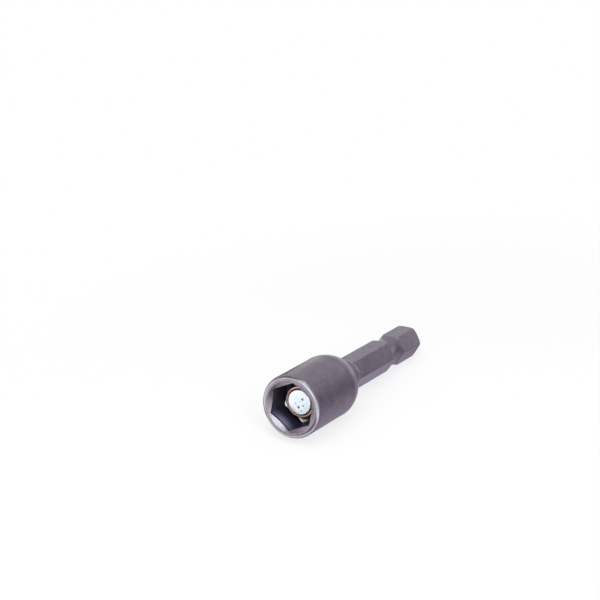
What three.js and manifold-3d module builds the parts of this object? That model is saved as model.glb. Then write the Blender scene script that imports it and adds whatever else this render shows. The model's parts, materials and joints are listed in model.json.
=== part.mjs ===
// Magnetic nut setter for a power screwdriver: a one-piece steel body with a hexagonal quick-change shank
// and a round socket, and a magnet held in a copper-coloured sleeve at the bottom of the nut recess.
// Millimetres. The tool lies along Y with its mouth facing -Y; the origin is the centre of the shank's end.

import * as THREE from 'three';
import { mergeVertices } from 'three/addons/utils/BufferGeometryUtils.js';
import Module from 'manifold-3d';

const wasm = await Module();
wasm.setup();

// Nut recess
const nutAcrossFlats = 8.73; // 11/32 inch nut or screw head
const nutClearance = 0.2; // added across the flats
const recessDepth = 5.6; // mouth to the hexagonal floor
const recessTurn = -25; // degrees, the recess's corners against the shank's corners
const leadIn = 1.1; // width of the countersink, out from the middle of each flat
const leadAngle = 25; // degrees, the countersink's slope against the rim

// Socket
const socketWall = 1.45; // left outside the recess's corners
const socketLength = 13.7; // mouth to the start of the domed shoulder
const mouthEdge = 0.38; // rounding of the rim's outer edge
const domeStep = 0.07; // half-axis of the dome's elliptical outline, over the socket's radius
const domeLength = 7.4; // its half-axis along the tool
const domeFlare = 0.6; // the socket widens to meet the dome over this length

// Collar between dome and shank
const collarStep = 0.08; // collar radius over the shank's corners
const collarLength = 2;
const flatRunOut = 1.3; // ramp in which each flat rises to the collar

// Quarter inch hexagonal shank
const shankAcrossFlats = 6.35;
const shankLength = 28.15; // collar to the end face
const cornerTrim = 0.03; // taken off each corner, along its radius
const tipRound = 1.1; // rounding of the end's edge
const grooveFromEnd = 10.15; // end face to the middle of the retaining groove
const grooveDepth = 0.85; // below the corners
const grooveRadius = 4; // of the groove's hollow arc

// Magnet and its sleeve
const magnetDiameter = 5.3;
const magnetDepth = 3.45; // mouth to the magnet's face
const magnetProud = 0.2; // magnet's face ahead of the sleeve's lip
const magnetEdge = 0.15; // rounding of the magnet's edges
const sleeveWall = 0.44;
const sleeveEdge = 0.1; // rounding of the sleeve's lip
const seatDepth = 4.4; // blind bore below the recess's floor
const magnetGap = 0.21; // glue line around the magnet
const sleeveGap = 0.1; // around the sleeve, and below sleeve and magnet

// Smoothness of round faces
const roundSides = 60; // a multiple of six, so that every flat meets the round faces alike
const arcSteps = 4;
const domeSteps = 10;
const grooveSteps = 10;

// Cutting shapes run this far past the faces that they cut
const overrun = 1;

// Worked out from the sizes above
const recessAcrossFlats = nutAcrossFlats + nutClearance;
const recessCorner = recessAcrossFlats / Math.sqrt(3);
const socketRadius = recessCorner + socketWall;
const shankCorner = shankAcrossFlats / Math.sqrt(3) - cornerTrim;
const collarRadius = shankCorner + collarStep;
const domeRadius = socketRadius + domeStep;
const domeRise = domeLength * Math.sqrt(1 - (collarRadius / domeRadius) ** 2);
const magnetRadius = magnetDiameter / 2;
const sleeveInner = magnetRadius + magnetGap;
const sleeveOuter = sleeveInner + sleeveWall;
const boreRadius = sleeveOuter + sleeveGap;

// Stations along Y, from the mouth to the end face at zero
const collarEndY = -shankLength;
const collarStartY = collarEndY - collarLength;
const domeStartY = collarStartY - domeRise;
const mouthY = domeStartY - socketLength;
const recessFloorY = mouthY + recessDepth;
const boreFloorY = recessFloorY + seatDepth;
const magnetFaceY = mouthY + magnetDepth;
const sleeveLipY = magnetFaceY + magnetProud;
const seatY = boreFloorY - sleeveGap;
const grooveY = -grooveFromEnd;

// Points of an elliptical arc about a centre; angles in degrees, 0 along the radius and 90 along +Y
function arc(centreRadius, centreY, halfRadius, halfY, fromAngle, toAngle, steps) {
  const points = [];
  for (let i = 0; i <= steps; i += 1) {
    const angle = THREE.MathUtils.degToRad(fromAngle + ((toAngle - fromAngle) * i) / steps);
    const radius = centreRadius + halfRadius * Math.cos(angle);
    points.push(new THREE.Vector2(radius, centreY + halfY * Math.sin(angle)));
  }
  return points;
}

function turned(points) {
  return new THREE.LatheGeometry(points, roundSides);
}

// Hexagonal prism along Y; turn is in degrees about the axis, and at zero two corners lie along X
function hexagonalPrism(acrossFlats, turn, fromY, toY) {
  const outline = new THREE.Shape();
  const corner = acrossFlats / Math.sqrt(3);
  for (let i = 0; i < 6; i += 1) {
    const angle = THREE.MathUtils.degToRad(turn + 60 * i);
    const x = corner * Math.cos(angle);
    const y = corner * Math.sin(angle);
    if (i === 0) outline.moveTo(x, y);
    else outline.lineTo(x, y);
  }
  outline.closePath();
  const prism = new THREE.ExtrudeGeometry(outline, { depth: toY - fromY, bevelEnabled: false });
  prism.rotateX(-Math.PI / 2);
  prism.translate(0, fromY, 0);
  return prism;
}

// Closed geometry to a solid: shared corners are merged, and triangles that shrink to nothing are dropped
function solidOf(geometry) {
  const bare = geometry.clone();
  bare.deleteAttribute('normal');
  bare.deleteAttribute('uv');
  const merged = mergeVertices(bare, 1e-5);
  const index = merged.index.array;
  const triangles = [];
  for (let i = 0; i < index.length; i += 3) {
    const [a, b, c] = [index[i], index[i + 1], index[i + 2]];
    if (a !== b && b !== c && c !== a) triangles.push(a, b, c);
  }
  const vertProperties = new Float32Array(merged.attributes.position.array);
  const triVerts = new Uint32Array(triangles);
  return new wasm.Manifold(new wasm.Mesh({ numProp: 3, vertProperties, triVerts }));
}

function geometryOf(solid) {
  const mesh = solid.getMesh();
  const geometry = new THREE.BufferGeometry();
  const positions = new Float32Array(mesh.vertProperties);
  geometry.setAttribute('position', new THREE.BufferAttribute(positions, 3));
  geometry.setIndex(new THREE.BufferAttribute(new Uint32Array(mesh.triVerts), 1));
  geometry.computeVertexNormals();
  return geometry;
}

// Socket, dome, collar and the ramp at the foot of the flats, as one turned outline
function turnedBlank() {
  const edgeY = mouthY + mouthEdge;
  const flareAngle = THREE.MathUtils.radToDeg(Math.asin(domeFlare / domeLength));
  const collarAngle = THREE.MathUtils.radToDeg(Math.asin(domeRise / domeLength));
  const points = [
    new THREE.Vector2(0, mouthY),
    ...arc(socketRadius - mouthEdge, edgeY, mouthEdge, mouthEdge, -90, 0, arcSteps),
    new THREE.Vector2(socketRadius, domeStartY),
    ...arc(0, domeStartY, domeRadius, domeLength, flareAngle, collarAngle, domeSteps),
    new THREE.Vector2(collarRadius, collarEndY),
    new THREE.Vector2(shankAcrossFlats / 2, collarEndY + flatRunOut),
    new THREE.Vector2(0, collarEndY + flatRunOut),
  ];
  return solidOf(turned(points));
}

// Outline that trims the shank's corners, hollows the groove and rounds the end
function shankEnvelope(startY) {
  const grooveCentre = shankCorner - grooveDepth + grooveRadius;
  const half = THREE.MathUtils.radToDeg(Math.acos((grooveRadius - grooveDepth) / grooveRadius));
  const points = [
    new THREE.Vector2(0, startY),
    new THREE.Vector2(shankCorner, startY),
    ...arc(grooveCentre, grooveY, grooveRadius, grooveRadius, 180 + half, 180 - half, grooveSteps),
    ...arc(shankCorner - tipRound, -tipRound, tipRound, tipRound, 0, 90, arcSteps),
    new THREE.Vector2(0, 0),
  ];
  return solidOf(turned(points));
}

function hexagonalShank() {
  const startY = collarEndY - collarLength / 2;
  const prism = solidOf(hexagonalPrism(shankAcrossFlats, 0, startY, overrun));
  return prism.intersect(shankEnvelope(startY));
}

// Nut recess with its countersunk mouth, and the magnet's blind bore below it
function nutRecess() {
  const leadRadius = recessAcrossFlats / 2 + leadIn;
  const leadSlope = Math.tan(THREE.MathUtils.degToRad(leadAngle));
  const startY = mouthY - overrun;
  const hexagon = solidOf(hexagonalPrism(recessAcrossFlats, recessTurn, startY, recessFloorY));
  const countersink = solidOf(turned([
    new THREE.Vector2(0, startY),
    new THREE.Vector2(leadRadius + overrun / leadSlope, startY),
    new THREE.Vector2(0, mouthY + leadRadius * leadSlope),
  ]));
  const bore = solidOf(turned([
    new THREE.Vector2(0, startY),
    new THREE.Vector2(boreRadius, startY),
    new THREE.Vector2(boreRadius, boreFloorY),
    new THREE.Vector2(0, boreFloorY),
  ]));
  return hexagon.add(countersink).add(bore);
}

function body() {
  return geometryOf(turnedBlank().add(hexagonalShank()).subtract(nutRecess()));
}

// Tube that stands on the bore's floor; its lip is rounded inside and outside
function magnetSleeve() {
  const lipCentre = sleeveLipY + sleeveEdge;
  const points = [
    new THREE.Vector2(sleeveInner, seatY),
    ...arc(sleeveInner + sleeveEdge, lipCentre, sleeveEdge, sleeveEdge, 180, 270, arcSteps),
    ...arc(sleeveOuter - sleeveEdge, lipCentre, sleeveEdge, sleeveEdge, -90, 0, arcSteps),
    new THREE.Vector2(sleeveOuter, seatY),
    new THREE.Vector2(sleeveInner, seatY),
  ];
  return turned(points);
}

function magnet() {
  const rim = magnetRadius - magnetEdge;
  const points = [
    new THREE.Vector2(0, magnetFaceY),
    ...arc(rim, magnetFaceY + magnetEdge, magnetEdge, magnetEdge, -90, 0, arcSteps),
    ...arc(rim, seatY - magnetEdge, magnetEdge, magnetEdge, 0, 90, arcSteps),
    new THREE.Vector2(0, seatY),
  ];
  return turned(points);
}

function piece(name, geometry, colour, roughness) {
  const material = new THREE.MeshStandardMaterial({ color: colour, roughness, metalness: 1 });
  const mesh = new THREE.Mesh(geometry, material);
  mesh.name = name;
  return mesh;
}

const nutSetter = new THREE.Group();
nutSetter.add(piece('body', body(), 0x7d7480, 0.45));
nutSetter.add(piece('magnet_sleeve', magnetSleeve(), 0xb87850, 0.35));
nutSetter.add(piece('magnet', magnet(), 0xdde2e8, 0.25));

export default nutSetter;
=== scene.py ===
import json
import math

import bpy
import numpy as np
from mathutils import Matrix, Vector


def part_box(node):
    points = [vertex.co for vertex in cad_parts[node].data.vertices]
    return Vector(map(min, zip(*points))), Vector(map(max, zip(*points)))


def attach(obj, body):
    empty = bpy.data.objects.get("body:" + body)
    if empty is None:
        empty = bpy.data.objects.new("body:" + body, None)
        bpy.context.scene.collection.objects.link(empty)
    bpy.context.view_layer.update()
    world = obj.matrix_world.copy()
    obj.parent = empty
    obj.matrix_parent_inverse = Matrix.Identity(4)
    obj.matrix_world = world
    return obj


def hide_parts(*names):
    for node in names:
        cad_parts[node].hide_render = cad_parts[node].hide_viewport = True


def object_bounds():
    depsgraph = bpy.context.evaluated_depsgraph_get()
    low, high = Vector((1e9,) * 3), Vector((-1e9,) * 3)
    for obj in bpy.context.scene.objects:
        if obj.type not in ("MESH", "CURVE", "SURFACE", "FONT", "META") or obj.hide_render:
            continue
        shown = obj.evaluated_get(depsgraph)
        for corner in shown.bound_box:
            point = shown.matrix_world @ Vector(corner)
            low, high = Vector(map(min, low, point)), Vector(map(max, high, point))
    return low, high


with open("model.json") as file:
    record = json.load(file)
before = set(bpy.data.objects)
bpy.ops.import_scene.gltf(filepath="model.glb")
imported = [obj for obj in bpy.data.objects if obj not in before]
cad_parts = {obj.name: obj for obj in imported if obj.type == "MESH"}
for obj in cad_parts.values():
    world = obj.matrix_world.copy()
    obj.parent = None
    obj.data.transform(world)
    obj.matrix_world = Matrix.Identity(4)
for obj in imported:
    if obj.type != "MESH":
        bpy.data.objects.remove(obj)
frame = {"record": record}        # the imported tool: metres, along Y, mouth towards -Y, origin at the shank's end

cadLow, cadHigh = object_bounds()    # the box that the visual model stays in
mm = 0.001


# Box of a node in millimetres, the unit of the sizes below
def boxOf(node):
    low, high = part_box(node)
    return np.array(low) / mm, np.array(high) / mm


bodyLow, bodyHigh = boxOf("body")
sleeveLow, sleeveHigh = boxOf("magnet_sleeve")
magnetLow, magnetHigh = boxOf("magnet")
mounts = {mount["name"]: np.array(mount["pos_m"]) / mm for mount in frame["record"]["mounts"]}
print("frame: body", bodyLow.round(3), bodyHigh.round(3))


# Outline runs: each is a function of a share from 0 to 1 that gives radius and Y, with its length.
# Every value may be one number or a column with one number for each angle round the tool.

# Straight run: start plus share times the difference to the end
def straightRun(startRadius, startY, endRadius, endY):
    radiusStep = endRadius - startRadius
    yStep = endY - startY

    def at(share):
        return startRadius + radiusStep * share, startY + yStep * share

    return at, np.hypot(radiusStep, yStep)


# Arc run: centre plus half-axes times cosine and sine of an angle that goes evenly from first to last
def arcRun(centreRadius, centreY, halfRadius, halfY, first, last):
    def at(share):
        turn = first + (last - first) * share
        return centreRadius + halfRadius * np.cos(turn), centreY + halfY * np.sin(turn)

    return at, np.abs(last - first) * (halfRadius + halfY) / 2


# Hexagon with rounded corners as a radius over the angle: on a flat it is half the width over the cosine of
# the angle from the flat's middle, and near a corner it follows the circle that rounds the corner.
def hexagonRadius(angle, halfWidth, cornerRound, turn):
    sixth = math.pi / 3
    fromCorner = (angle - turn + sixth / 2) % sixth - sixth / 2
    centre = (halfWidth - cornerRound) * 2 / math.sqrt(3)
    tangent = math.atan2(cornerRound / 2, centre + cornerRound * math.sqrt(3) / 2)
    flat = halfWidth / np.cos(sixth / 2 - np.abs(fromCorner))
    across = np.clip(cornerRound ** 2 - (centre * np.sin(fromCorner)) ** 2, 0, None)
    rounded = centre * np.cos(fromCorner) + np.sqrt(across)
    return np.where(np.abs(fromCorner) < tangent, rounded, flat)


# Angles round the tool, drawn together near the given ones: the running sum of a density with a bell there,
# read back at even steps
def crowdedAngles(count, corners, crowding, spread):
    fine = np.linspace(0, 2 * math.pi, 7200, endpoint=False)    # a twentieth of a degree apart
    away = (fine[:, None] - np.array(corners)[None, :] + math.pi) % (2 * math.pi) - math.pi
    density = 1 + crowding * np.exp(-(away / spread) ** 2).sum(1)
    running = np.concatenate([[0], np.cumsum(density)])
    steps = np.linspace(0, running[-1], count, endpoint=False)
    return np.interp(steps, running, np.append(fine, 2 * math.pi))


# Marks that a run may carry for the steel: worn edges, partly with a painted highlight, in the recess, painted
# sheen on one wall, painted highlight on two corners of the floor
markNames = ("wearAndHighlight", "inside", "wallSheen", "bared")
mostCut = 0.4    # a cut takes at most this share of a run


# Rows of an outline: each run is sampled closer at its ends, and between two runs a parabola cuts the
# corner, from one distance before it to the same distance behind it. Marks are blended with the points.
def outlineRows(runs, columns):
    radii, ys, marks = [], [], []
    lengths = [np.broadcast_to(run["path"][1], (columns, 1)) for run in runs]
    endMarks = [[np.broadcast_to(run.get(name, 0), 2) for name in markNames] for run in runs]
    for k, run in enumerate(runs):
        at = run["path"][0]
        cut = run.get("cut", 0)
        before = runs[k - 1].get("cut", 0) if k else 0
        head = np.minimum(before / lengths[k], mostCut)
        tail = np.minimum(cut / lengths[k], mostCut)
        share = 0.5 - 0.5 * np.cos(np.linspace(0, math.pi, run["steps"]))[None, :]
        if k and before == 0:
            share = share[:, 1:]
        radius, y = at(head + (1 - head - tail) * share)
        radii.append(np.broadcast_to(radius, (columns, share.shape[1])))
        ys.append(np.broadcast_to(y, (columns, share.shape[1])))
        evenly = share[0]
        marks.append(np.stack([first + (last - first) * evenly for first, last in endMarks[k]], 1))
        if cut == 0 or k + 1 == len(runs):
            continue
        following = runs[k + 1]
        nextHead = np.minimum(cut / lengths[k + 1], mostCut)
        start, corner, end = at(1 - tail), at(np.ones((columns, 1))), following["path"][0](nextHead)
        t = np.linspace(0, 1, run.get("cutSteps", 4) + 2)[None, 1:-1]
        blend = [(1 - t) ** 2 * start[i] + 2 * t * (1 - t) * corner[i] + t ** 2 * end[i] for i in (0, 1)]
        radii.append(np.broadcast_to(blend[0], (columns, t.shape[1])))
        ys.append(np.broadcast_to(blend[1], (columns, t.shape[1])))
        hump = (4 * t * (1 - t))[0]
        pairs = zip(endMarks[k], endMarks[k + 1])
        blended = [mine[1] + (theirs[0] - mine[1]) * t[0] for mine, theirs in pairs]
        blended[0] = np.maximum(blended[0], run.get("cutWorn", 0) * hump)
        marks.append(np.stack(blended, 1))
    return np.concatenate(radii, 1), np.concatenate(ys, 1), np.concatenate(marks)


# Mesh from points and arrays of faces, smooth shaded
def meshOf(name, points, faceSets):
    mesh = bpy.data.meshes.new(name)
    corners = np.concatenate([faces.ravel() for faces in faceSets])
    sizes = np.concatenate([np.full(len(faces), faces.shape[1]) for faces in faceSets])
    mesh.vertices.add(len(points))
    mesh.vertices.foreach_set("co", points.astype(np.float32).ravel())
    mesh.loops.add(len(corners))
    mesh.loops.foreach_set("vertex_index", corners.astype(np.int32))
    mesh.polygons.add(len(sizes))
    mesh.polygons.foreach_set("loop_start", np.concatenate([[0], np.cumsum(sizes)[:-1]]).astype(np.int32))
    mesh.polygons.foreach_set("use_smooth", np.ones(len(sizes), bool))
    mesh.update(calc_edges=True)
    return mesh


# Skin carried round the axis: point = (radius cos angle, Y, radius sin angle) for every angle and row. With
# poles, the first and last rows shrink to one point each; without, the outline closes on itself.
def turnedSkin(name, angle, radius, y, poles):
    columns, rows = radius.shape
    x = radius * np.cos(angle)[:, None]
    z = radius * np.sin(angle)[:, None]
    points = np.stack([x, np.broadcast_to(y, x.shape), z], 2) * mm
    index = np.arange(columns * rows).reshape(columns, rows)
    beside = np.roll(index, -1, 0)
    if not poles:
        ahead, besideAhead = np.roll(index, -1, 1), np.roll(beside, -1, 1)
        quads = np.stack([index, beside, besideAhead, ahead], 2).reshape(-1, 4)
        return meshOf(name, points.reshape(-1, 3), [quads])
    index, beside = index[:, 1:-1], beside[:, 1:-1]
    quads = np.stack([index[:, :-1], beside[:, :-1], beside[:, 1:], index[:, 1:]], 2).reshape(-1, 4)
    firstPole, lastPole = columns * rows, columns * rows + 1
    firstFan = np.stack([np.full(columns, firstPole), beside[:, 0], index[:, 0]], 1)
    lastFan = np.stack([np.full(columns, lastPole), index[:, -1], beside[:, -1]], 1)
    allPoints = np.concatenate([points.reshape(-1, 3), points[:1, 0], points[:1, -1]])
    used = np.zeros(len(allPoints), bool)
    used[np.concatenate([quads.ravel(), firstFan.ravel(), lastFan.ravel()])] = True
    renumbered = np.cumsum(used) - 1
    mesh = meshOf(name, allPoints[used], [renumbered[quads], renumbered[firstFan], renumbered[lastFan]])
    return mesh, used


# Object for a mesh, riding on the tool's one body in the place of its CAD node
def placePiece(name, mesh, node, material):
    piece = bpy.data.objects.new(name, mesh)
    bpy.context.scene.collection.objects.link(piece)
    mesh.materials.append(material)
    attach(piece, "root")
    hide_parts(node)
    return piece


# One value per point, kept in the mesh for its material
def keepMark(mesh, name, values):
    attribute = mesh.attributes.new(name, "FLOAT", "POINT")
    attribute.data.foreach_set("value", values.astype(np.float32))


# Node with its settings; an input is a number, a colour or another node's output
def addNode(tree, kind, inputs=None, **settings):
    made = tree.nodes.new(kind)
    for name, value in settings.items():
        setattr(made, name, value)
    for name, value in (inputs or {}).items():
        if isinstance(value, bpy.types.NodeSocket):
            tree.links.new(value, made.inputs[name])
        else:
            made.inputs[name].default_value = value
    return made


# Blend of two colours by a factor
def mixColour(tree, factor, first, second):
    made = addNode(tree, "ShaderNodeMix", {0: factor, 6: first, 7: second}, data_type="RGBA")
    return made.outputs[2]


# Share of the way from low to high, held between 0 and 1, then scaled to the wanted span
def remap(tree, value, low, high, toLow=0.0, toHigh=1.0):
    inputs = {"Value": value, "From Min": low, "From Max": high, "To Min": toLow, "To Max": toHigh}
    return addNode(tree, "ShaderNodeMapRange", inputs).outputs["Result"]


# One value worked out from two
def combine(tree, working, first, second):
    return addNode(tree, "ShaderNodeMath", {0: first, 1: second}, operation=working).outputs[0]


# Cloud of noise on object coordinates; size is that of one cloud in millimetres
def cloud(tree, place, size, detail):
    inputs = {"Vector": place, "Scale": 1 / (size * mm), "Detail": detail}
    return addNode(tree, "ShaderNodeTexNoise", inputs).outputs["Fac"]


# Empty material with its shader and the object's own coordinates
def startMaterial(name):
    material = bpy.data.materials.new(name)
    material.use_nodes = True
    tree = material.node_tree
    tree.nodes.clear()
    shader = addNode(tree, "ShaderNodeBsdfPrincipled")
    addNode(tree, "ShaderNodeOutputMaterial", {"Surface": shader.outputs[0]})
    place = addNode(tree, "ShaderNodeTexCoord").outputs["Object"]
    return material, tree, shader, place


# Mark that the mesh keeps for every point
def mark(tree, name):
    return addNode(tree, "ShaderNodeAttribute", attribute_name=name).outputs["Fac"]


# Fine relief from a cloud; height is in millimetres
def addRelief(tree, shader, grain, strength, height):
    inputs = {"Height": grain, "Strength": strength, "Distance": height * mm}
    tree.links.new(addNode(tree, "ShaderNodeBump", inputs).outputs["Normal"], shader.inputs["Normal"])


cloudSpan = (0.3, 0.7)    # most of a noise cloud lies between these

satinSteel = {
    "light": (0.37, 0.323, 0.39, 1),      # lilac grey, linear
    "dark": (0.287, 0.24, 0.288, 1),      # mauve in the mottling
    "pit": (0.2, 0.17, 0.225, 1),         # darker side of the blasted grain
    "glint": (0.44, 0.4, 0.475, 1),       # lighter side of it
    "speck": (0.06, 0.055, 0.095, 1),     # navy specks and smudges
    "bare": (0.72, 0.71, 0.735, 1),       # light metal of rubbed edges, partly a painted highlight, and the painted highlight on two corners of the recess's floor
    "scaleAndShade": (0.024, 0.022, 0.046, 1),    # scale and painted shade in the recess
    "wallSheenColour": (0.26, 0.29, 0.4, 1),       # painted sheen on one wall of the recess
    "mottleCloud": (1.9, 4.0),            # size in millimetres and detail
    "blastCloud": (0.34, 2.0),
    "smudgeCloud": (0.75, 3.0),
    "speckCloud": (0.3, 1.0),
    "grainCloud": (0.17, 2.0),
    "grainShare": 0.2,                    # share of a colour where it is strongest
    "blastShare": 0.45,
    "speckShare": 0.7,
    "smudgeShare": 0.5,
    "wearHighlightShare": 0.7,
    "wallSheenShare": 0.95,
    "pitAt": (0.5, 0.75),                 # values of a cloud or mark between which its colour comes up
    "glintAt": (0.5, 0.25),
    "speckAt": (0.69, 0.74),
    "smudgeAt": (0.63, 0.75),
    "wearHighlightAt": (0.1, 1.0),
    "bareAt": (0.6, 0.85),
    "roughness": (0.29, 0.35),
    "wornRoughness": 0.6,                 # times as rough on rubbed edges
    "grainHeight": 0.03,
    "relief": (0.9, 0.1),                 # strength of the grain, plain and on rubbed edges
    "scaleAndShadeMetal": 0.3,                    # how metallic the recess's scale and painted shade are
}


# Blasted steel: two greys mixed by a cloud, the darker and lighter sides of the blasted grain, navy specks
# and smudges. Rubbed edges are lighter and smoother; on the mouth's edge and countersink the light colour is
# partly a painted highlight. The recess is dark with scale and painted shade, with a painted sheen on one wall
# and a painted highlight on two corners of its floor.
def satinSteelMaterial(look):
    material, tree, shader, place = startMaterial("satin_steel")
    wearAndHighlight, inside, wallSheen, bared = [mark(tree, name) for name in markNames]
    mottle = cloud(tree, place, *look["mottleCloud"])
    blast = cloud(tree, place, *look["blastCloud"])
    smudge = cloud(tree, place, *look["smudgeCloud"])
    speck = cloud(tree, place, *look["speckCloud"])
    grain = cloud(tree, place, *look["grainCloud"])
    steel = mixColour(tree, remap(tree, mottle, *cloudSpan), look["dark"], look["light"])
    layers = [
        (grain, cloudSpan, look["grainShare"], look["dark"]),
        (blast, look["pitAt"], look["blastShare"], look["pit"]),
        (blast, look["glintAt"], look["blastShare"], look["glint"]),
        (speck, look["speckAt"], look["speckShare"], look["speck"]),
        (smudge, look["smudgeAt"], look["smudgeShare"], look["speck"]),
        # worn edges in the light colour; on the mouth's edge and countersink it is partly a painted highlight
        (wearAndHighlight, look["wearHighlightAt"], look["wearHighlightShare"], look["bare"]),
        # the recess: dark scale and painted shade
        (inside, (0.0, 1.0), 1.0, look["scaleAndShade"]),
        # painted sheen that lightens one wall of the recess
        (wallSheen, (0.0, 1.0), look["wallSheenShare"], look["wallSheenColour"]),
    ]
    for value, span, share, colour in layers:
        steel = mixColour(tree, remap(tree, value, *span, 0.0, share), steel, colour)
    # painted highlight: two corners of the recess's floor are made light and fully metallic, as if catching the
    # light
    floorHighlightShare = remap(tree, bared, *look["bareAt"])
    steel = mixColour(tree, floorHighlightShare, steel, look["bare"])
    tree.links.new(steel, shader.inputs["Base Color"])
    metal = combine(tree, "MAXIMUM", remap(tree, inside, 0.0, 1.0, 1.0, look["scaleAndShadeMetal"]), floorHighlightShare)
    tree.links.new(metal, shader.inputs["Metallic"])
    mottled = remap(tree, mottle, *cloudSpan, *look["roughness"])
    smoothed = remap(tree, wearAndHighlight, 0.0, 1.0, 1.0, look["wornRoughness"])
    tree.links.new(combine(tree, "MULTIPLY", mottled, smoothed), shader.inputs["Roughness"])
    addRelief(tree, shader, grain, remap(tree, wearAndHighlight, 0.0, 1.0, *look["relief"]), look["grainHeight"])
    return material


# Bare metal in a given colour: its roughness follows the mottling, and a fine grain is in the relief
def finishMetal(tree, shader, place, look, colour, mottle):
    tree.links.new(colour, shader.inputs["Base Color"])
    shader.inputs["Metallic"].default_value = 1.0
    tree.links.new(remap(tree, mottle, *cloudSpan, *look["roughness"]), shader.inputs["Roughness"])
    grain = cloud(tree, place, *look["grainCloud"])
    addRelief(tree, shader, grain, look["relief"], look["grainHeight"])


copperSleeve = {
    "light": (1.0, 0.61, 0.42, 1),
    "dark": (0.7, 0.36, 0.22, 1),
    "mottleCloud": (1.1, 3.0),
    "grainCloud": (0.09, 2.0),
    "grainHeight": 0.004,
    "relief": 0.4,
    "roughness": (0.26, 0.42),
}


# Copper: two tones mixed by a cloud, with a fine drawn grain
def copperSleeveMaterial(look):
    material, tree, shader, place = startMaterial("copper_sleeve")
    mottle = cloud(tree, place, *look["mottleCloud"])
    copper = mixColour(tree, remap(tree, mottle, *cloudSpan), look["dark"], look["light"])
    finishMetal(tree, shader, place, look, copper, mottle)
    return material


platedMagnet = {
    "light": (0.86, 0.9, 0.94, 1),
    "dull": (0.74, 0.8, 0.87, 1),
    "pit": (0.06, 0.06, 0.09, 1),
    "pitAt": (0.25, 0.75),
    "mottleCloud": (0.9, 3.0),
    "grainCloud": (0.12, 2.0),
    "grainHeight": 0.003,
    "relief": 0.3,
    "roughness": (0.2, 0.34),
}


# Nickel plating: bright with a soft dull cloud, dark in the pits
def platedMagnetMaterial(look):
    material, tree, shader, place = startMaterial("plated_magnet")
    mottle = cloud(tree, place, *look["mottleCloud"])
    nickel = mixColour(tree, remap(tree, mottle, *cloudSpan), look["dull"], look["light"])
    nickel = mixColour(tree, remap(tree, mark(tree, "pitted"), *look["pitAt"]), nickel, look["pit"])
    finishMetal(tree, shader, place, look, nickel, mottle)
    return material


body = {
    "columns": 288,
    "crowding": 2.2,                            # more columns at the corners of both hexagons
    "crowdSpread": 0.07,
    "shankHalf": mounts["shank_flat"][2],       # half of the width across the flats
    "shankTrim": 0.03,                          # off each corner of the shank
    "tipRound": 0.75,
    "grooveFromEnd": 10.15,
    "grooveDepth": 0.85,                        # below the corners
    "grooveRadius": 4.0,
    "collarFromEnd": 28.15,
    "collarStep": 0.08,                         # over the shank's corners
    "collarLength": 2.0,
    "flatRunOut": 1.3,                          # ramp in which each flat rises to the collar
    "socketWall": 1.45,                         # outside the recess's corners
    "domeStep": 0.07,                           # half-axis of the dome's outline, over the socket's radius
    "domeLength": 7.4,                          # its half-axis along the tool
    "domeFlare": 0.6,                           # the socket widens to meet the dome over this length
    "mouthY": bodyLow[1],
    "mouthEdge": 0.65,
    "recessHalf": 4.465,                        # half of the width across the flats
    "recessCorner": 0.34,
    "recessTurn": math.radians(25),
    "leadIn": 1.1,                              # countersink, out from the middle of each flat
    "leadSlope": math.tan(math.radians(25)),
    "recessDepth": 5.6,                         # to the floor's corners
    "floorCone": math.tan(math.radians(22)),    # the drill's point, left around the bore
    "boreRadius": 3.4,
    "boreDepth": 4.4,
    "wallSheenFrom": 0.45,                        # a painted sheen from here below the countersink
    "wallSheenDepth": 2.8,                        # to here
    "wallSheenAt": np.radians([235]),             # most of it on one flat
    "wallSheenSpread": 0.5,
    "bareAt": np.radians([205, 265]),           # corners of the recess's floor that get a painted highlight
    "bareSpread": 0.45,
}


# Radii and stations that the floor needs too: the collar stands over the shank's corners, the socket over
# the recess's corners, and the dome's middle lies before the collar by its half-axis times the sine of the
# angle at which its outline meets the collar
def bodyStations(size):
    shankCorner = size["shankHalf"] * 2 / math.sqrt(3) - size["shankTrim"]
    collarRadius = shankCorner + size["collarStep"]
    socketRadius = size["recessHalf"] * 2 / math.sqrt(3) + size["socketWall"]
    domeTurn = math.acos(collarRadius / (socketRadius + size["domeStep"]))
    collarStart = -size["collarFromEnd"] - size["collarLength"]
    domeY = collarStart - size["domeLength"] * math.sin(domeTurn)
    return shankCorner, collarRadius, collarStart, socketRadius, domeTurn, domeY


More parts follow.
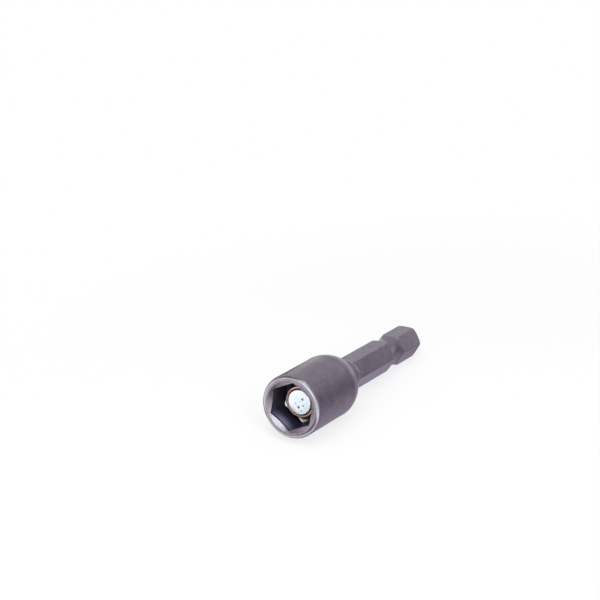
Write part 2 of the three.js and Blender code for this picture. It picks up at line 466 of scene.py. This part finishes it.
# Body: one outline from the middle of the shank's end round to the bottom of the magnet's bore. Where the
# shank or the recess is hexagonal the outline's radius changes with the angle, so every flat runs out in
# its own curve at the tip, the groove, the collar and the countersunk mouth.
def makeBody(size):
    cornerAngles = np.arange(6) * math.pi / 3
    crowdAt = np.concatenate([cornerAngles, cornerAngles + size["recessTurn"]])
    angle = crowdedAngles(size["columns"], crowdAt, size["crowding"], size["crowdSpread"])
    cornerRound = size["shankTrim"] / (2 / math.sqrt(3) - 1)
    shank = hexagonRadius(angle, size["shankHalf"], cornerRound, 0)[:, None]
    recess = hexagonRadius(angle, size["recessHalf"], size["recessCorner"], size["recessTurn"])[:, None]
    shankCorner, collarRadius, collarStart, socketRadius, domeTurn, domeY = bodyStations(size)

    tipFlat = shankCorner - size["tipRound"]
    tipTurn = np.arccos(np.clip((shank - tipFlat) / size["tipRound"], -1, 1))
    tipY = size["tipRound"] * (np.sin(tipTurn) - 1)
    grooveY = -size["grooveFromEnd"]
    grooveCentre = shankCorner - size["grooveDepth"] + size["grooveRadius"]
    grooveTurn = np.arccos((grooveCentre - shank) / size["grooveRadius"])
    grooveHalf = size["grooveRadius"] * np.sin(grooveTurn)
    collarEnd = -size["collarFromEnd"]
    rampSlope = size["flatRunOut"] / (collarRadius - size["shankHalf"])
    rampY = collarEnd + (collarRadius - shank) * rampSlope
    domeRadius = socketRadius + size["domeStep"]
    flareTurn = math.asin(size["domeFlare"] / size["domeLength"])
    flareRadius = domeRadius * math.cos(flareTurn)
    flareY = domeY + size["domeFlare"]
    mouthY = size["mouthY"]
    edgeRadius = socketRadius - size["mouthEdge"]
    edgeY = mouthY + size["mouthEdge"]
    leadRadius = size["recessHalf"] + size["leadIn"]
    wallY = mouthY + (leadRadius - recess) * size["leadSlope"]
    wallSheenTopY = wallY + size["wallSheenFrom"]
    wallSheenEndY = wallY + size["wallSheenDepth"]
    floorY = mouthY + size["recessDepth"]
    boreY = floorY + size["boreDepth"]
    bore = size["boreRadius"]
    recessReach = size["recessHalf"] * 2 / math.sqrt(3)
    coneY = floorY + (recessReach - recess) * size["floorCone"]
    boreTop = floorY + (recessReach - bore) * size["floorCone"]
    quarter = math.pi / 2

    runs = [
        {"path": straightRun(0, 0, tipFlat, 0), "steps": 5},
        {"path": arcRun(tipFlat, -size["tipRound"], size["tipRound"], size["tipRound"], quarter, tipTurn),
         "steps": 16, "cut": 0.14, "cutWorn": 0.7},
        {"path": straightRun(shank, tipY, shank, grooveY + grooveHalf),
         "steps": 9, "cut": 0.16, "cutWorn": 0.45},
        {"path": arcRun(grooveCentre, grooveY, size["grooveRadius"], size["grooveRadius"],
                        math.pi - grooveTurn, math.pi + grooveTurn),
         "steps": 36, "cut": 0.16, "cutWorn": 0.45},
        {"path": straightRun(shank, grooveY - grooveHalf, shank, rampY), "steps": 14, "cut": 0.12},
        {"path": straightRun(shank, rampY, collarRadius, collarEnd),
         "steps": 8, "cut": 0.14, "cutWorn": 0.8},
        {"path": straightRun(collarRadius, collarEnd, collarRadius, collarStart), "steps": 7, "cut": 0.3},
        {"path": arcRun(0, domeY, domeRadius, size["domeLength"], domeTurn, flareTurn),
         "steps": 36, "cut": 0.12},
        {"path": straightRun(flareRadius, flareY, socketRadius, domeY), "steps": 5, "cut": 0.06},
        {"path": straightRun(socketRadius, domeY, socketRadius, edgeY), "steps": 12},
        # mouth's edge: worn, lighter towards the rim, where the light colour is also a painted highlight
        {"path": arcRun(edgeRadius, edgeY, size["mouthEdge"], size["mouthEdge"], 0, -quarter),
         "steps": 18, "wearAndHighlight": (0.1, 0.8)},
        {"path": straightRun(edgeRadius, mouthY, leadRadius, mouthY),
         "steps": 9, "cut": 0.14, "cutWorn": 0.3},
        # countersink: worn a little lighter, partly a painted highlight
        {"path": straightRun(leadRadius, mouthY, recess, wallY), "steps": 8, "wearAndHighlight": 0.2, "cut": 0.08},
        # recess walls: a painted sheen on one of them, below the countersink
        {"path": straightRun(recess, wallY, recess, wallSheenTopY), "steps": 5, "inside": 1, "wallSheen": 0.1},
        {"path": straightRun(recess, wallSheenTopY, recess, wallSheenEndY),
         "steps": 9, "inside": 1, "wallSheen": (1, 0)},
        {"path": straightRun(recess, wallSheenEndY, recess, coneY), "steps": 7, "inside": 1, "cut": 0.1},
        # floor: a painted highlight on two of its corners
        {"path": straightRun(recess, coneY, bore, boreTop),
         "steps": 9, "inside": 1, "bared": (1, 0), "cut": 0.1},
        {"path": straightRun(bore, boreTop, bore, boreY), "steps": 5, "inside": 1, "cut": 0.1},
        {"path": straightRun(bore, boreY, 0, boreY), "steps": 4, "inside": 1},
    ]
    radius, y, marks = outlineRows(runs, size["columns"])
    mesh, used = turnedSkin("body_skin", angle, radius, y, True)
    bells = {"wallSheen": (size["wallSheenAt"], size["wallSheenSpread"]),
             "bared": (size["bareAt"], size["bareSpread"])}
    for k, name in enumerate(markNames):
        everywhere = np.tile(marks[:, k], (size["columns"], 1))
        if name in bells:
            places, spread = bells[name]
            away = (angle[:, None] - places[None, :] + math.pi) % (2 * math.pi) - math.pi
            everywhere = everywhere * np.exp(-(away / spread) ** 2).max(1)[:, None]
        keepMark(mesh, name, np.concatenate([everywhere.ravel(), marks[[0, -1], k]])[used])
    return placePiece("body_skin", mesh, "body", satinSteelMaterial(satinSteel))


sleeve = {
    "columns": 160,
    "outer": sleeveHigh[0],
    "wall": 0.44,
    "lipY": sleeveLow[1],
    "seatY": sleeveHigh[1],
    "lipRound": (0.2, 0.07),    # outside and inside
}


# Sleeve: a tube whose lip is rounded on both sides
def makeSleeve(size):
    angle = np.linspace(0, 2 * math.pi, size["columns"], endpoint=False)
    inner = size["outer"] - size["wall"]
    lip, inside = size["lipRound"]
    lipCentre = size["lipY"] + lip
    half = math.pi / 2
    runs = [
        {"path": straightRun(size["outer"], size["seatY"], size["outer"], lipCentre), "steps": 8},
        {"path": arcRun(size["outer"] - lip, lipCentre, lip, lip, 0, -half), "steps": 10},
        {"path": straightRun(size["outer"] - lip, size["lipY"], inner + inside, size["lipY"]), "steps": 4},
        {"path": arcRun(inner + inside, size["lipY"] + inside, inside, inside, -half, -math.pi),
         "steps": 8},
        {"path": straightRun(inner, size["lipY"] + inside, inner, size["seatY"]), "steps": 10},
    ]
    radius, y, _ = outlineRows(runs, size["columns"])
    mesh = turnedSkin("sleeve_skin", angle, radius, y, False)
    material = copperSleeveMaterial(copperSleeve)
    return placePiece("sleeve_skin", mesh, "magnet_sleeve", material)


magnet = {
    "columns": 192,
    "radius": magnetHigh[0],
    "faceY": magnetLow[1],
    "seatY": magnetHigh[1],
    "edge": 0.17,
    "pits": [(0.74, 0.7, 0.24), (-0.13, -1.15, 0.24), (0.95, -0.6, 0.15), (-0.85, -0.4, 0.12),
             (0.49, -1.75, 0.1), (-0.6, 0.9, 0.06), (0.2, 0.15, 0.07)],    # X, Z, size
    "pitDepth": 0.08,
    "faceBand": 0.01,    # points this close to the face are part of it
}


# Magnet: a plated cylinder with round edges; each pit is a bell-shaped dent in its face
def makeMagnet(size):
    angle = np.linspace(0, 2 * math.pi, size["columns"], endpoint=False)
    edge = size["edge"]
    rim = size["radius"] - edge
    backY, frontY = size["seatY"] - edge, size["faceY"] + edge
    half = math.pi / 2
    runs = [
        {"path": straightRun(0, size["seatY"], rim, size["seatY"]), "steps": 4},
        {"path": arcRun(rim, backY, edge, edge, half, 0), "steps": 8},
        {"path": straightRun(size["radius"], backY, size["radius"], frontY), "steps": 6},
        {"path": arcRun(rim, frontY, edge, edge, 0, -half), "steps": 12},
        {"path": straightRun(rim, size["faceY"], 0, size["faceY"]), "steps": 64},
    ]
    radius, y, _ = outlineRows(runs, size["columns"])
    pitted = np.zeros(radius.shape)
    for x, z, across in size["pits"]:
        away = np.hypot(radius * np.cos(angle)[:, None] - x, radius * np.sin(angle)[:, None] - z)
        pitted = np.maximum(pitted, np.exp(-(away / across) ** 2))
    pitted = np.where(y < size["faceY"] + size["faceBand"], pitted, 0)
    y = y + size["pitDepth"] * pitted
    mesh, used = turnedSkin("magnet_skin", angle, radius, y, True)
    everywhere = np.concatenate([pitted.ravel(), pitted[0, [0, -1]]])
    keepMark(mesh, "pitted", everywhere[used])
    return placePiece("magnet_skin", mesh, "magnet", platedMagnetMaterial(platedMagnet))


for made in (makeBody(body), makeSleeve(sleeve), makeMagnet(magnet)):
    made.data.calc_loop_triangles()
    print("piece:", made.name, len(made.data.loop_triangles), "triangles")


# Where the tool lies: on the widest ring of its dome and on the lower flat of its tip, so the floor slopes
tipFootFromEnd = 1.2
domeFoot = (bodyStations(body)[-1] + body["domeFlare"], bodyLow[2])
tipFoot = (-tipFootFromEnd, -body["shankHalf"])
floorSlope = (tipFoot[1] - domeFoot[1]) / (tipFoot[0] - domeFoot[0])

cove = {
    "middle": (0, -25),         # X and Y
    "fineRings": (0, 150, 26),  # first, last and count
    "wideRings": (165, 600, 40),
    "turns": 96,
    "wall": (400, 600),         # the floor rises from here to there
    "wallHeight": 130,
    "levelFrom": 10,            # behind the tool the floor turns level at this Y
    "colour": (0.9, 0.9, 0.9, 1),
    "white": (0.75, 0.0),       # share of plain white near the tool, for the camera and for reflections
    "fade": (28, 95),           # all white from here to there, in millimetres from the tool
    "stretch": (1, 0.6, 0),     # the fade is an oval along the tool
}


# Height of the floor: foot + slope times the way along Y, level behind the tool
def floorAt(y):
    return domeFoot[1] + (np.minimum(y, cove["levelFrom"]) - domeFoot[0]) * floorSlope


# Cove: the floor, which rises to a wall all round; with r from 0 to 1 across the wall, the height grows by
# three times the square of r less twice its cube
def makeCove(size):
    rings = np.concatenate([np.linspace(*size["fineRings"]), np.linspace(*size["wideRings"])])
    turns = np.linspace(0, 2 * math.pi, size["turns"], endpoint=False)
    x = size["middle"][0] + rings[None, :] * np.cos(turns)[:, None]
    y = size["middle"][1] + rings[None, :] * np.sin(turns)[:, None]
    foot, top = size["wall"]
    r = np.clip((rings - foot) / (top - foot), 0, 1)
    z = floorAt(y) + size["wallHeight"] * r[None, :] ** 2 * (3 - 2 * r)
    points = np.stack([x, y, z], 2).reshape(-1, 3) * mm
    index = np.arange(len(points)).reshape(len(turns), len(rings))
    beside = np.roll(index, -1, 0)
    quads = np.stack([index[:, 1:-1], index[:, 2:], beside[:, 2:], beside[:, 1:-1]], 2).reshape(-1, 4)
    fan = np.stack([np.zeros(len(turns), int), index[:, 1], beside[:, 1]], 1)
    placeStage("cove", meshOf("cove", points, [quads, fan]), coveMaterial(size))


# Stage object for a mesh
def placeStage(name, mesh, material):
    made = bpy.data.objects.new(name, mesh)
    bpy.context.scene.collection.objects.link(made)
    mesh.materials.append(material)
    return made


# Pale matt cove that keeps the tool's shadow, lifted to white for the camera, reflections and clear bodies,
# and all white away from the tool
def coveMaterial(look):
    material = bpy.data.materials.new("cove")
    material.use_nodes = True
    tree = material.node_tree
    tree.nodes.clear()
    place = addNode(tree, "ShaderNodeTexCoord").outputs["Object"]
    middle = (look["middle"][0] * mm, look["middle"][1] * mm, 0)
    away = addNode(tree, "ShaderNodeVectorMath", {0: place, 1: middle}, operation="SUBTRACT").outputs[0]
    oval = {0: away, 1: look["stretch"]}
    oval = addNode(tree, "ShaderNodeVectorMath", oval, operation="MULTIPLY").outputs[0]
    distance = addNode(tree, "ShaderNodeVectorMath", {0: oval}, operation="LENGTH").outputs["Value"]
    near, far = look["fade"]
    path = addNode(tree, "ShaderNodeLightPath").outputs
    mirrored = combine(tree, "MAXIMUM", path["Is Glossy Ray"], path["Is Transmission Ray"])
    shares = []
    for ray, least in zip((path["Is Camera Ray"], mirrored), look["white"]):
        whiteness = remap(tree, distance, near * mm, far * mm, least, 1.0)
        shares.append(combine(tree, "MULTIPLY", ray, whiteness))
    share = combine(tree, "MAXIMUM", *shares)
    matt = addNode(tree, "ShaderNodeBsdfDiffuse", {"Color": look["colour"]})
    white = addNode(tree, "ShaderNodeEmission", {"Color": (1, 1, 1, 1), "Strength": 1.0})
    mixed = addNode(tree, "ShaderNodeMixShader", {0: share, 1: matt.outputs[0], 2: white.outputs[0]})
    addNode(tree, "ShaderNodeOutputMaterial", {"Surface": mixed.outputs[0]})
    return material


# Cards, seen only in reflections, which give the satin steel its soft dark and light bands. A tone is the
# brightness of a card, or its brightness at the first and the last Y.
cards = {
    "tints": {"felt": (0.98, 0.89, 1.04, 1), "plain": (0.95, 0.98, 1.0, 1), "cool": (0.95, 0.93, 1.09, 1)},
    "lift": 0.3,                # off the floor
    "sideGrid": (41, 22),
    "flatGrid": 5,
    "side": {
        "card_right": {"y": (-52, 52), "x": (8, 40), "height": 80, "toneAt": (0, 0.1, 0.25, 0.5, 0.72, 1),
                       "tones": (0.55, 0.46, 0.34, 0.3, 0.44, 0.6)},
        "card_left": {"y": (-46, 8), "x": (-12, -46), "height": 50, "toneAt": (0, 0.3, 0.5, 0.72, 1),
                      "tones": (0.7, 0.25, 0.2, 0.4, 0.6)},
    },
    "level": {
        "card_front": {"y": (-72, -56), "x": (-6.5, 8), "height": 0, "tone": 0.12, "tint": "felt"},
        "card_front_right": {"y": (-76, -54), "x": (10, 24), "height": 0, "tone": 1.6, "tint": "plain"},
        "card_front_left": {"y": (-59, -44), "x": (-34, -12.5), "height": 0, "tone": 0.25, "tint": "felt"},
        "card_front_bright": {"y": (-74, -62), "x": (-48, -13.5), "height": 0, "tone": 1.9,
                              "tint": "plain"},
        "card_front_far": {"y": (-110, -74), "x": (-48, -1), "height": 0, "tone": 1.05, "tint": "plain"},
        "card_front_middle": {"y": (-110, -75), "x": (-1, 16), "height": 0, "tone": 1.8, "tint": "plain"},
        "card_belly": {"y": (-50, -31), "x": (-6, 8), "height": 0, "tone": 0.5, "tint": "cool"},
        "card_under": {"y": (-31, 40), "x": (-10, 8), "height": 0, "tone": (0.68, 0.2), "tint": "cool"},
        "card_above": {"y": (-120, -70), "x": (45, 90), "height": 240, "tone": 8.0, "tint": "plain"},
    },
    "upright": {
        "card_upright": {"x": (-260, -25), "y": -140, "height": (60, 250), "tone": 0.12},
    },
}


# Card from grids of X, Y, height over the floor and tone; the tone is kept for every point
def makeCard(name, x, y, height, tone, tint):
    z = floorAt(y) + cards["lift"] + height
    points = np.stack([x, y, z], 2)
    index = np.arange(z.size).reshape(z.shape)
    quads = np.stack([index[:-1, :-1], index[:-1, 1:], index[1:, 1:], index[1:, :-1]], 2).reshape(-1, 4)
    mesh = meshOf(name, points.reshape(-1, 3) * mm, [quads])
    keepMark(mesh, "tone", tone.ravel())
    material = bpy.data.materials.new(name)
    material.use_nodes = True
    tree = material.node_tree
    tree.nodes.clear()
    look = {"Color": cards["tints"][tint], "Strength": mark(tree, "tone")}
    glow = addNode(tree, "ShaderNodeEmission", look)
    addNode(tree, "ShaderNodeOutputMaterial", {"Surface": glow.outputs[0]})
    made = placeStage(name, mesh, material)
    made.visible_camera = made.visible_diffuse = made.visible_shadow = made.visible_transmission = False


# Card at the tool's side: with s from 0 to 1 across it, it starts flat and curves up; X eases out by the
# square of s and the height grows by its cube
def makeSideCard(name, size):
    across, along = cards["sideGrid"]
    s, y = np.meshgrid(np.linspace(0, 1, across), np.linspace(*size["y"], along))
    x = size["x"][0] + (size["x"][1] - size["x"][0]) * (1 - (1 - s) ** 2)
    makeCard(name, x, y, size["height"] * s ** 3, np.interp(s, size["toneAt"], size["tones"]), "felt")


# Level card: X and Y evenly between their ends, and the tone evenly along Y
def makeLevelCard(name, size):
    count = cards["flatGrid"]
    x, y = np.meshgrid(np.linspace(*size["x"], count), np.linspace(*size["y"], count))
    tone = np.interp(y, size["y"], np.broadcast_to(size["tone"], 2))
    makeCard(name, x, y, size["height"], tone, size["tint"])


# Upright card of one tone: X and height evenly between their ends
def makeUprightCard(name, size):
    count = cards["flatGrid"]
    x, height = np.meshgrid(np.linspace(*size["x"], count), np.linspace(*size["height"], count))
    makeCard(name, x, np.full(x.shape, size["y"]), height, np.full(x.shape, size["tone"]), "felt")


studio = {
    "fill": (0.95, 0.97, 1.0, 1),
    "fillStrength": 0.6,
    "lamps": {                  # sizes and distances in metres
        "key": {"toward": (0.45, -0.6, 0.66), "along": (0.75, -0.07, -0.66), "distance": 0.5,
                "size": (0.65, 0.16), "power": 2.1, "colour": (1, 1, 1), "mirrored": False},
        "front": {"toward": (0.05, -0.955, 0.285), "along": (-0.73, 0, 0.68), "distance": 0.5,
                  "size": (0.34, 0.12), "power": 0.49, "colour": (0.93, 1, 0.98), "mirrored": True},
    },
}


# Placement from a place and three axes
def placedAt(place, right, up, out):
    return Matrix.Translation(place) @ Matrix((right, up, out)).transposed().to_4x4()


# Even fill light from the room above the cove
def makeWorld(look):
    world = bpy.data.worlds.new("studio")
    bpy.context.scene.world = world
    world.use_nodes = True
    tree = world.node_tree
    tree.nodes.clear()
    fill = addNode(tree, "ShaderNodeBackground", {"Color": look["fill"], "Strength": look["fillStrength"]})
    addNode(tree, "ShaderNodeOutputWorld", {"Surface": fill.outputs[0]})


# Oblong soft lamp that faces the middle of the tool, its long side along a given direction. A lamp that
# isn't mirrored only lights the floor and casts the shadow, and the steel shows the cards.
def makeLamp(name, look):
    lamp = bpy.data.lights.new(name, "AREA")
    lamp.shape = "RECTANGLE"
    lamp.energy = look["power"]
    lamp.color = look["colour"]
    lamp.size, lamp.size_y = look["size"]
    made = bpy.data.objects.new(name, lamp)
    bpy.context.scene.collection.objects.link(made)
    toward = Vector(look["toward"]).normalized()
    along = Vector(look["along"])
    side = (along - toward * along.dot(toward)).normalized()
    place = (cadLow + cadHigh) / 2 + toward * look["distance"]
    made.matrix_world = placedAt(place, side, toward.cross(side), toward)
    made.visible_camera = False
    made.visible_glossy = look["mirrored"]


camera = {
    "azimuth": math.radians(30.711),
    "elevation": math.radians(20.694),
    "roll": math.radians(0.702),
    "distance": 0.35,           # metres from the middle of the mouth
    "nearest": 0.01,            # metres, what is closer isn't seen
    "lens": 105.95,
    "sensor": 36.0,
    "imageSize": 600,
    "mouthPixel": (290.26, 407.57),
}


# Camera: it stands off the mouth by azimuth and elevation, and looks past it so that the mouth's middle
# falls on its pixel
def makeCamera(look):
    azimuth, elevation = look["azimuth"], look["elevation"]
    mouth = Vector((0, bodyLow[1] * mm, 0))
    back = Vector((math.sin(azimuth) * math.cos(elevation), -math.cos(azimuth) * math.cos(elevation),
                   math.sin(elevation)))
    level = Vector((math.cos(azimuth), math.sin(azimuth), 0))
    right = Matrix.Rotation(look["roll"], 3, back) @ level
    up = back.cross(right)
    pixel = look["distance"] * look["sensor"] / look["lens"] / look["imageSize"]
    offRight = (look["imageSize"] / 2 - look["mouthPixel"][0]) * pixel
    offUp = (look["mouthPixel"][1] - look["imageSize"] / 2) * pixel
    place = mouth + back * look["distance"]
    aim = mouth + right * offRight + up * offUp
    out = (place - aim).normalized()
    side = up.cross(out).normalized()
    data = bpy.data.cameras.new("camera")
    data.lens = look["lens"]
    data.sensor_width = look["sensor"]
    data.clip_start = look["nearest"]
    made = bpy.data.objects.new("camera", data)
    bpy.context.scene.collection.objects.link(made)
    made.matrix_world = placedAt(place, side, out.cross(side), out)
    bpy.context.scene.camera = made


makeCove(cove)
for kind, make in (("side", makeSideCard), ("level", makeLevelCard), ("upright", makeUprightCard)):
    for name, size in cards[kind].items():
        make(name, size)
makeWorld(studio)
for name, look in studio["lamps"].items():
    makeLamp(name, look)
makeCamera(camera)
bpy.context.scene.view_settings.view_transform = "Standard"
print("stage: floor slope", round(math.degrees(math.atan(floorSlope)), 2), "degrees")

bpy.context.view_layer.update()
